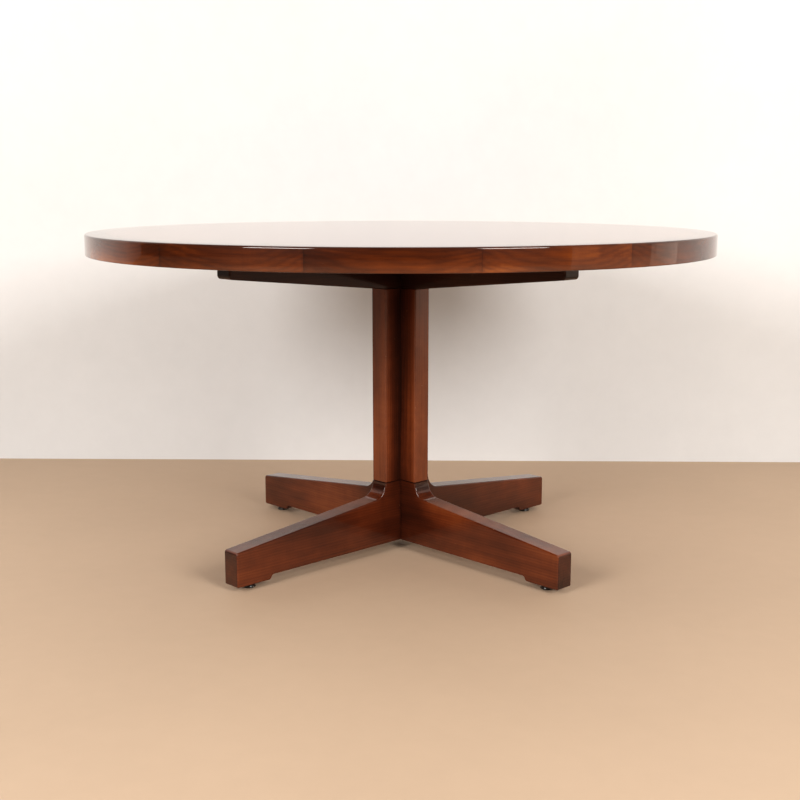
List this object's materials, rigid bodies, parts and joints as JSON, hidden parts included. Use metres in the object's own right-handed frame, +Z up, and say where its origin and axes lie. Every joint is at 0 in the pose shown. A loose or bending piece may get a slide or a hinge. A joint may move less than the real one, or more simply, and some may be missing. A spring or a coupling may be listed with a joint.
{
  "type": "round pedestal table",
  "caption": "Round wooden dining table: thick segmented-rim top on crossed bearers, a cruciform column and an X of sloping legs with screw-in levelling glides.",
  "frame": {"origin": "on the floor, on the column's vertical axis: the bottom centre of the whole table", "axes": "+Z up along the column and the tie rod; the front is towards -Y; the legs and bearers lie on the diagonals between X and Y"},
  "size_m": [1.38, 1.38, 0.73],
  "materials": {
    "face_veneer": "polished clear lacquer over stained veneer",
    "rim_wood": "polished clear lacquer over stained solid wood",
    "backing_veneer": "thin satin sealer",
    "core_wood": "bare, hidden",
    "tongue_wood": "bare, hidden",
    "bearer_wood": "dark satin lacquer",
    "column_wood": "polished clear lacquer over stained solid wood",
    "leg_wood": "polished clear lacquer over stained solid wood",
    "dowel_wood": "bare, hidden",
    "screw_steel": "plain steel, dulled by age",
    "rod_steel": "zinc-plated steel",
    "insert_steel": "zinc-plated steel",
    "stem_steel": "zinc-plated steel",
    "glide_shell": "dark brown-black enamel",
    "glide_nylon": "matt nylon"
  },
  "bodies": {
    "table": {"top_core": "core_wood", "face_veneer": "face_veneer", "backing_veneer": "backing_veneer", "rim_tongues": "tongue_wood", "rim_segment_01": "rim_wood", "rim_segment_02": "rim_wood", "rim_segment_03": "rim_wood", "rim_segment_04": "rim_wood", "rim_segment_05": "rim_wood", "rim_segment_06": "rim_wood", "rim_segment_07": "rim_wood", "rim_segment_08": "rim_wood", "rim_segment_09": "rim_wood", "rim_segment_10": "rim_wood", "rim_segment_11": "rim_wood", "rim_segment_12": "rim_wood", "rim_segment_13": "rim_wood", "rim_segment_14": "rim_wood", "bearer_a": "bearer_wood", "bearer_b": "bearer_wood", "bearer_screws": "screw_steel", "column_board": "column_wood", "column_fin_left": "column_wood", "column_fin_right": "column_wood", "column_cross_dowels": "dowel_wood", "bearer_dowels": "dowel_wood", "leg_dowels": "dowel_wood", "tie_rod": "rod_steel", "tie_rod_nuts": "rod_steel", "tie_rod_washers": "rod_steel", "leg_beam_a": "leg_wood", "leg_beam_b": "leg_wood", "glide_insert_1": "insert_steel", "glide_insert_2": "insert_steel", "glide_insert_3": "insert_steel", "glide_insert_4": "insert_steel"},
    "foot_1": {"glide_base_1": "glide_shell", "glide_cushion_1": "glide_nylon"},
    "stem_1": {"glide_stem_1": "stem_steel"},
    "foot_2": {"glide_base_2": "glide_shell", "glide_cushion_2": "glide_nylon"},
    "stem_2": {"glide_stem_2": "stem_steel"},
    "foot_3": {"glide_base_3": "glide_shell", "glide_cushion_3": "glide_nylon"},
    "stem_3": {"glide_stem_3": "stem_steel"},
    "foot_4": {"glide_base_4": "glide_shell", "glide_cushion_4": "glide_nylon"},
    "stem_4": {"glide_stem_4": "stem_steel"}
  },
  "joints": [
    {"name": "foot_1_height", "type": "slide", "parent": "table", "child": "foot_1", "axis": [0, 0, -1], "range_m": [0, 0.012]},
    {"name": "stem_1_screw", "type": "hinge", "parent": "foot_1", "child": "stem_1", "pos_m": [0.31254, 0.31254, 0.012], "axis": [0, 0, -1], "range_deg": [0, 3457]},
    {"name": "foot_2_height", "type": "slide", "parent": "table", "child": "foot_2", "axis": [0, 0, -1], "range_m": [0, 0.012]},
    {"name": "stem_2_screw", "type": "hinge", "parent": "foot_2", "child": "stem_2", "pos_m": [-0.31254, 0.31254, 0.012], "axis": [0, 0, -1], "range_deg": [0, 3457]},
    {"name": "foot_3_height", "type": "slide", "parent": "table", "child": "foot_3", "axis": [0, 0, -1], "range_m": [0, 0.012]},
    {"name": "stem_3_screw", "type": "hinge", "parent": "foot_3", "child": "stem_3", "pos_m": [-0.31254, -0.31254, 0.012], "axis": [0, 0, -1], "range_deg": [0, 3457]},
    {"name": "foot_4_height", "type": "slide", "parent": "table", "child": "foot_4", "axis": [0, 0, -1], "range_m": [0, 0.012]},
    {"name": "stem_4_screw", "type": "hinge", "parent": "foot_4", "child": "stem_4", "pos_m": [0.31254, -0.31254, 0.012], "axis": [0, 0, -1], "range_deg": [0, 3457]}
  ],
  "couplings": [
    {"joint": "stem_1_screw", "follows": "foot_1_height", "rad_per_m": 5026.5},
    {"joint": "stem_2_screw", "follows": "foot_2_height", "rad_per_m": 5026.5},
    {"joint": "stem_3_screw", "follows": "foot_3_height", "rad_per_m": 5026.5},
    {"joint": "stem_4_screw", "follows": "foot_4_height", "rad_per_m": 5026.5}
  ]
}
